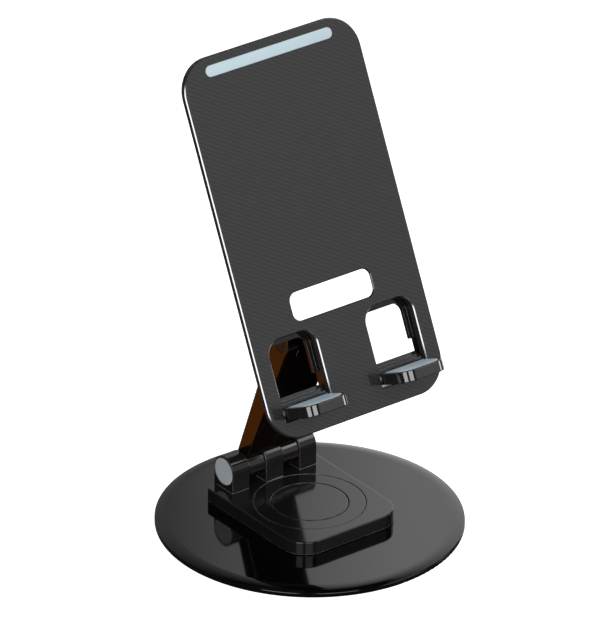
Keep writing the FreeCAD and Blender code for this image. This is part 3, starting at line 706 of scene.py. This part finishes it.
def place_piece(name: str, mesh: bpy.types.Mesh, body: Body, finish: Finish,
                replaced: tuple[str, ...]) -> bpy.types.Object:
    """Put a finished mesh in the scene and tie it to the frame.

    Args:
        name: the piece's name.
        mesh: its mesh, in the frame's metres.
        body: what it rides on.
        finish: its main finish.
        replaced: the CAD nodes that it stands for.

    Returns:
        The new object.
    """
    piece = bpy.data.objects.new(name, mesh)
    bpy.context.scene.collection.objects.link(piece)
    mesh.materials.clear()
    mesh.materials.append(finish.material())
    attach(piece, body.value)
    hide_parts(*replaced)
    LOG.info("%s: %d faces on %s", name, len(mesh.polygons), body.value)
    return piece


# ---------------------------------------------------------------- sub-assemblies
@dataclass
class SwivelBase:
    """The disc, its rubber foot and the axle that carries the platform."""

    foot_inner: float = 9.1 * MM
    foot_outer: float = 41.9 * MM
    foot_thick: float = 0.6 * MM
    groove_pitch: float = 2.2 * MM
    groove_depth: float = 0.18 * MM
    turns: int = 160

    def build(self) -> None:
        """Build the foot and dress the base's metal and plastic."""
        self.foot_ring()
        dress("base_disc", DISC_BLACK)
        dress("swivel_axle", steel("axle_steel"))
        dress("axle_nut", steel("axle_nut_steel"))
        dress("wave_washer", steel("wave_washer_steel"))
        dress("thrust_washer", ACETAL)

    def foot_profile(self) -> list[tuple[float, float]]:
        """The foot's section: flat on top, with round grooves in its underside.

        Returns:
            Radius and height of each point, from the inner top round to the outer top.
        """
        section = [(self.foot_inner, self.foot_thick), (self.foot_inner, self.groove_depth)]
        count = int((self.foot_outer - self.foot_inner) / self.groove_pitch)
        land = (self.foot_outer - self.foot_inner) / count
        for number in range(count):
            start = self.foot_inner + number * land
            section += [(start + 0.15 * land, 0.0), (start + 0.70 * land, 0.0),
                        (start + 0.85 * land, self.groove_depth)]
        return section + [(self.foot_outer, self.groove_depth), (self.foot_outer, self.foot_thick)]

    def foot_ring(self) -> None:
        """The foot: its section turned about the vertical axis."""
        work = bmesh.new()
        section = self.foot_profile()
        rings = []
        for turn in range(self.turns):
            angle = math.tau * turn / self.turns
            rings.append([work.verts.new((radius * math.cos(angle), radius * math.sin(angle), height))
                          for radius, height in section])
        for turn, ring in enumerate(rings):
            following = rings[(turn + 1) % self.turns]
            for number in range(len(section)):
                after = (number + 1) % len(section)
                work.faces.new((ring[number], following[number], following[after], ring[after]))
        bmesh.ops.recalc_face_normals(work, faces=work.faces)
        mesh = bpy.data.meshes.new("foot_ring")
        work.to_mesh(mesh)
        work.free()
        smooth(mesh)
        place_piece("foot_ring", mesh, Body.BASE, FOOT_RUBBER, ("foot_pad",))


@dataclass
class SwivelPlatform:
    """The block that turns on the disc, with the lower hinge in its ears."""

    hinge: Vector

    def build(self) -> None:
        """Dress the block, its inserts and the lower hinge."""
        for node in ("platform", "trim_ring", "centre_cap"):
            dress(node, PIANO_BLACK)
        for side in Side:
            dress(f"hinge_cap_{side.name.lower()}", SATIN_GREY)
        centre = tuple(self.hinge)
        for node in ("lower_hinge_pin", "lower_spring_washer", "lower_hinge_nut"):
            dress(node, steel(f"{node}_steel", "x", centre))
        dress("lower_friction_washers", ACETAL)


@dataclass
class FoldingArm:
    """The bar between the two hinges, with the upper hinge's pin in its fork."""

    hinge: Vector

    def build(self) -> None:
        """Dress the bar and the upper hinge."""
        dress("arm", DARK_BRONZE)
        dress("upper_hinge_pin", BLACKED_STEEL)
        dress("upper_hinge_nut", steel("upper_hinge_nut_steel", "x", tuple(self.hinge)))
        dress("upper_friction_washers", ACETAL)


@dataclass
class CradlePlate:
    """The tilting plate: face, pale strip, shell, hook housing and hinge bracket."""

    origin: Vector = Vector((0.0, -24.2, 45.6)) * MM
    tilt_deg: float = 25.3
    half: float = 31.25 * MM
    height: float = 111.54 * MM
    corner: float = 10.1 * MM
    thick: float = 0.9 * MM
    edge: float = 0.30 * MM
    slot_half: float = 14.35 * MM
    slot_low: float = 31.65 * MM
    slot_high: float = 39.95 * MM
    slot_corner: float = 2.55 * MM
    window_in: float = 8.9 * MM
    window_out: float = 25.9 * MM
    window_low: float = 5.5 * MM
    window_high: float = 28.8 * MM
    window_corner: float = 4.6 * MM
    strip_half: float = 22.44 * MM
    strip_low: float = 105.76 * MM
    strip_high: float = 109.04 * MM
    strip_proud: float = 0.25 * MM
    strip_thick: float = 0.6 * MM
    strip_bevel: float = 0.14 * MM
    near: float = 1.0 * MM

    def frame_matrix(self, depth: float = 0.0) -> Matrix:
        """Where a flat piece goes: its X across the plate, its Y up the plate, its Z to the front.

        Args:
            depth: how far its middle lies behind the plate's face.

        Returns:
            The matrix from the piece to the frame.
        """
        tilt = Matrix.Rotation(math.radians(90 - self.tilt_deg), 4, "X")
        return Matrix.Translation(self.origin) @ tilt @ Matrix.Translation((0.0, 0.0, -depth))

    def window(self, side: Side) -> list[Vector]:
        """One hook window's outline.

        Args:
            side: which side of the plate.

        Returns:
            Its points.
        """
        across = sorted((side.value * self.window_in, side.value * self.window_out))
        return rounded_outline(Vector((across[0], self.window_low)), Vector((across[1], self.window_high)),
                               self.window_corner, Corners.UPPER)

    def at_slot(self, place: Vector) -> bool:
        """Whether a point of the face lies at the cable slot's edge.

        Args:
            place: the point, across and up the plate.

        Returns:
            True at the slot.
        """
        beside = abs(place.x) < self.slot_half + self.near
        return beside and self.slot_low - self.near < place.y < self.slot_high + self.near

    def polished(self, face: bpy.types.MeshPolygon) -> bool:
        """Whether a face of the flat panel belongs to its polished front edges.

        Args:
            face: the face, before the panel is put in place.

        Returns:
            True on the broken edges, except at the cable slot.
        """
        slanted = 0.2 < abs(face.normal.z) < 0.95
        return slanted and face.center.z > 0 and not self.at_slot(face.center)

    def face(self) -> None:
        """The face panel, its windows and slot cut through and its edges broken and polished."""
        outer = rounded_outline(Vector((-self.half, 0.0)), Vector((self.half, self.height)), self.corner,
                                steps=24)
        slot = rounded_outline(Vector((-self.slot_half, self.slot_low)),
                               Vector((self.slot_half, self.slot_high)), self.slot_corner)
        sheet = Sheet((outer, slot, *(self.window(side) for side in Side)), self.thick, self.edge)
        mesh = sheet.mesh("cradle_face")
        polished = [face.index for face in mesh.polygons if self.polished(face)]
        mesh.transform(self.frame_matrix(self.thick / 2))
        smooth(mesh)
        piece = place_piece("cradle_face", mesh, Body.CRADLE, GRAPHITE_TWILL,
                            ("front_panel",))
        piece.data.materials.append(POLISHED_EDGE.material())
        for number in polished:
            piece.data.polygons[number].material_index = 1

    def pale_strip(self) -> None:
        """The pale strip near the top edge, its ends fully round."""
        outline = rounded_outline(Vector((-self.strip_half, self.strip_low)),
                                  Vector((self.strip_half, self.strip_high)),
                                  (self.strip_high - self.strip_low) / 2 - 0.01 * MM)
        mesh = Sheet((outline,), self.strip_thick, self.strip_bevel, 3).mesh("pale_strip")
        mesh.transform(self.frame_matrix(self.strip_thick / 2 - self.strip_proud))
        smooth(mesh)
        place_piece("pale_strip", mesh, Body.CRADLE, SHADED_STRIP_SILICONE, ("top_strip",))

    def build(self) -> None:
        """Build the plate's visible face and dress the rest."""
        self.face()
        self.pale_strip()
        dress("back_shell", SHELL_BLACK)
        dress("hook_housing", KNUCKLE_BLACK)
        dress("hinge_bracket", KNUCKLE_BLACK)
        for node in ("housing_screws", "bracket_screws"):
            dress(node, steel(f"{node}_steel"))


@dataclass
class FoldingHook:
    """One hook with its soft pad, pin and washers."""

    side: Side
    plate: CradlePlate
    inner: float = 10.55 * MM
    outer: float = 24.25 * MM
    front: float = 10.20 * MM
    back: float = 0.30 * MM
    top: float = 9.57 * MM
    thick: float = 0.60 * MM
    corner: float = 3.5 * MM
    bevel: float = 0.16 * MM

    def pad(self) -> None:
        """The soft pad let into the hook's upper side."""
        across = sorted((self.side.value * self.inner, self.side.value * self.outer))
        outline = rounded_outline(Vector((across[0], -self.front)), Vector((across[1], -self.back)),
                                  self.corner, Corners.LOWER)
        label = f"{self.side.name.lower()}_hook"
        name = f"{label}_cushion"
        mesh = Sheet((outline,), self.thick, self.bevel, 3).mesh(name)
        mesh.transform(Matrix.Translation((0.0, 0.0, self.top - self.thick / 2)))
        turn = Matrix.Rotation(math.radians(-self.plate.tilt_deg), 4, "X")
        mesh.transform(Matrix.Translation(self.plate.origin) @ turn)
        smooth(mesh)
        body = Body[f"{self.side.name}_HOOK"]
        place_piece(name, mesh, body, PALE_SILICONE, (f"{label}_pad",))

    def build(self) -> None:
        """Build the pad and dress the hook, its pin and washers."""
        label = self.side.name.lower()
        self.pad()
        dress(f"{label}_hook", HOOK_BLACK)
        dress(f"{label}_hook_pin", steel("hook_pin_steel", "x"))
        dress(f"{label}_hook_washers", ACETAL)


# ---------------------------------------------------------------- studio
def facing(azimuth_deg: float, elevation_deg: float) -> Vector:
    """The direction from the stand to a place round it.

    Args:
        azimuth_deg: the turn from the front, to the right.
        elevation_deg: the height above level.

    Returns:
        The unit direction.
    """
    azimuth = math.radians(azimuth_deg)
    elevation = math.radians(elevation_deg)
    return Vector((math.sin(azimuth) * math.cos(elevation), -math.cos(azimuth) * math.cos(elevation),
                   math.sin(elevation)))


def flat_prop(name: str, half_side: float, material: bpy.types.Material) -> bpy.types.Object:
    """A square studio prop, flat on its own X and Y, that is no piece of the stand.

    Args:
        name: the prop's name.
        half_side: half its side.
        material: its material.

    Returns:
        The new object.
    """
    mesh = bpy.data.meshes.new(name)
    work = bmesh.new()
    bmesh.ops.create_grid(work, x_segments=1, y_segments=1, size=half_side)
    work.to_mesh(mesh)
    work.free()
    mesh.materials.append(material)
    prop = bpy.data.objects.new(name, mesh)
    prop.visible_diffuse = False
    bpy.context.scene.collection.objects.link(prop)
    return prop


def glow_material(name: str) -> tuple[bpy.types.Material, Graph, bpy.types.Node]:
    """A material that only glows.

    Args:
        name: its name.

    Returns:
        The material, its graph and its emission shader.
    """
    material = bpy.data.materials.new(name)
    material.use_nodes = True
    material.node_tree.nodes.clear()
    graph = Graph(material.node_tree)
    lamp = graph.add("ShaderNodeEmission")
    graph.feed(graph.add("ShaderNodeOutputMaterial").inputs["Surface"], lamp.outputs["Emission"])
    return material, graph, lamp


@dataclass(frozen=True)
class SoftBox:
    """A soft light that faces the stand."""

    name: str
    azimuth_deg: float
    elevation_deg: float
    width: float
    height: float
    radiance: float
    mirrored: bool = True
    distance: float = 0.9

    def build(self, target: Vector) -> None:
        """Hang the light so that it faces a point.

        Args:
            target: the point.
        """
        light = bpy.data.lights.new(self.name, "AREA")
        light.shape = "RECTANGLE"
        light.size = self.width
        light.size_y = self.height
        light.energy = self.radiance * math.pi * self.width * self.height
        holder = bpy.data.objects.new(self.name, light)
        towards = facing(self.azimuth_deg, self.elevation_deg)
        holder.location = target + towards * self.distance
        holder.rotation_euler = towards.to_track_quat("Z", "Y").to_euler()
        holder.visible_camera = False
        holder.visible_glossy = self.mirrored
        bpy.context.scene.collection.objects.link(holder)


@dataclass(frozen=True)
class FloorCard:
    """A glowing card on the floor that only mirrored rays see."""

    name: str
    radiance: Colour
    centre: tuple[float, float]
    half: tuple[float, float]
    lift: float = 0.2 * MM

    def build(self) -> None:
        """Lay the card down."""
        material, _, lamp = glow_material(f"{self.name}_glow")
        lamp.inputs["Color"].default_value = (*self.radiance, 1.0)
        card = flat_prop(self.name, 1.0, material)
        card.location = (*self.centre, self.lift)
        card.scale = (*self.half, 1.0)
        card.visible_camera = False
        card.visible_shadow = False


@dataclass(frozen=True)
class BackdropPanel:
    """A glowing panel behind the stand that the gloss black mirrors, brighter on its right and below."""

    half_side: float = 0.5
    distance: float = 0.45
    middle: float = 0.26
    across: tuple[float, float] = (-0.05, 0.035)
    across_glow: tuple[float, float] = (0.36, 1.34)
    upward: tuple[float, float] = (0.06, 0.46)
    upward_glow: tuple[float, float] = (1.0, 0.02)

    def build(self, azimuth_deg: float) -> None:
        """Hang the panel across from the camera.

        Args:
            azimuth_deg: the camera's azimuth.
        """
        material, graph, lamp = glow_material("backdrop_glow")
        place = graph.add("ShaderNodeSeparateXYZ")
        graph.feed(place.inputs[0], graph.add("ShaderNodeTexCoord").outputs["Object"])
        across = graph.remap(place.outputs["X"], self.across, self.across_glow)
        upward = graph.remap(place.outputs["Y"], self.upward, self.upward_glow)
        graph.feed(lamp.inputs["Strength"], graph.math("MULTIPLY", across, upward))
        panel = flat_prop("backdrop_panel", self.half_side, material)
        panel.location = Vector((0.0, 0.0, self.middle)) - facing(azimuth_deg, 0.0) * self.distance
        panel.rotation_euler = (math.radians(90), 0.0, math.radians(azimuth_deg))
        panel.visible_camera = False


@dataclass
class Studio:
    """Pale floor, soft boxes, cards and the long-lens camera."""

    target: Vector = Vector((0.0, 0.0, 60.0)) * MM
    azimuth_deg: float = -38.15
    elevation_deg: float = 28.01
    roll_deg: float = 0.79
    distance: float = 2.374
    focal: float = 480.7
    shift_x: float = -0.01969
    shift_y: float = 0.04509
    floor_side: float = 6.0
    floor_drop: float = 0.2 * MM
    dim_light: float = 0.06
    boxes: tuple[SoftBox, ...] = (
        SoftBox("front_left_box", -17.0, 24.0, 0.45, 0.60, 4.0),
        SoftBox("left_box", -58.0, 16.0, 0.40, 0.80, 4.0),
        SoftBox("front_right_box", 34.0, 13.0, 0.60, 0.60, 0.52),
        SoftBox("right_strip", 67.0, 1.0, 0.22, 0.14, 5.0),
        SoftBox("rim_strip", 42.0, 38.0, 0.50, 0.28, 3.2),
        SoftBox("top_box", 20.0, 80.0, 0.6, 0.6, 2.5, mirrored=False),
    )
    cards: tuple[FloorCard, ...] = (
        FloorCard("amber_card", (0.45, 0.13, 0.018), (-60.0 * MM, 82.0 * MM), (37.5 * MM, 55.0 * MM)),
        FloorCard("white_card", (0.9, 0.9, 0.9), (125.0 * MM, 60.0 * MM), (70.0 * MM, 60.0 * MM)),
    )

    def floor(self) -> None:
        """The pale floor that the stand rests on."""
        material = bpy.data.materials.new("pale_floor")
        material.use_nodes = True
        shader = material.node_tree.nodes["Principled BSDF"]
        shader.inputs["Base Color"].default_value = (0.8, 0.8, 0.8, 1.0)
        shader.inputs["Roughness"].default_value = 0.9
        shader.inputs["Emission Color"].default_value = (*WHITE, 1.0)
        shader.inputs["Emission Strength"].default_value = 1.0
        floor = flat_prop("studio_floor", self.floor_side / 2, material)
        floor.location.z = -self.floor_drop
        floor.visible_glossy = False

    def world(self) -> None:
        """White behind the stand and dim light all round."""
        world = bpy.data.worlds.new("studio_world")
        world.use_nodes = True
        world.node_tree.nodes.clear()
        graph = Graph(world.node_tree)
        seen = graph.add("ShaderNodeLightPath").outputs["Is Camera Ray"]
        dim = graph.add("ShaderNodeBackground")
        dim.inputs["Strength"].default_value = self.dim_light
        white = graph.add("ShaderNodeBackground")
        for background in (dim, white):
            background.inputs["Color"].default_value = (*WHITE, 1.0)
        mixed = graph.add("ShaderNodeMixShader")
        graph.feed(mixed.inputs[0], seen)
        graph.feed(mixed.inputs[1], dim.outputs[0])
        graph.feed(mixed.inputs[2], white.outputs[0])
        graph.feed(graph.add("ShaderNodeOutputWorld").inputs["Surface"], mixed.outputs[0])
        bpy.context.scene.world = world

    def camera(self) -> None:
        """The long-lens camera at the stand's three-quarter view."""
        back = facing(self.azimuth_deg, self.elevation_deg)
        azimuth = math.radians(self.azimuth_deg)
        right = Vector((math.cos(azimuth), math.sin(azimuth), 0.0))
        turn = Matrix((right, back.cross(right), back)).transposed().to_4x4()
        roll = Matrix.Rotation(math.radians(self.roll_deg), 4, "Z")
        lens = bpy.data.cameras.new("studio_camera")
        lens.lens = self.focal
        lens.sensor_width = 36.0
        lens.shift_x = self.shift_x
        lens.shift_y = self.shift_y
        lens.clip_end = 20.0
        holder = bpy.data.objects.new("studio_camera", lens)
        holder.matrix_world = Matrix.Translation(self.target + back * self.distance) @ turn @ roll
        bpy.context.scene.collection.objects.link(holder)
        bpy.context.scene.camera = holder

    def build(self) -> None:
        """Set up the whole studio."""
        self.floor()
        BackdropPanel().build(self.azimuth_deg)
        for card in self.cards:
            card.build()
        self.world()
        for box in self.boxes:
            box.build(self.target)
        self.camera()
        bpy.context.scene.view_settings.view_transform = "Standard"


# ---------------------------------------------------------------- run
def joint_place(name: str) -> Vector:
    """A joint's point at rest.

    Args:
        name: the joint's name.

    Returns:
        The point in the frame.
    """
    return Vector(next(joint for joint in frame["joints"] if joint["name"] == name)["pos_m"])


def main() -> None:
    """Build and dress the stand, then its studio."""
    logging.basicConfig(level=logging.INFO, format="%(name)s: %(message)s")
    Studio().build()
    SwivelBase().build()
    SwivelPlatform(joint_place("lower_hinge")).build()
    FoldingArm(joint_place("upper_hinge")).build()
    plate = CradlePlate()
    plate.build()
    for side in Side:
        FoldingHook(side, plate).build()


if __name__ == "__main__":
    main()
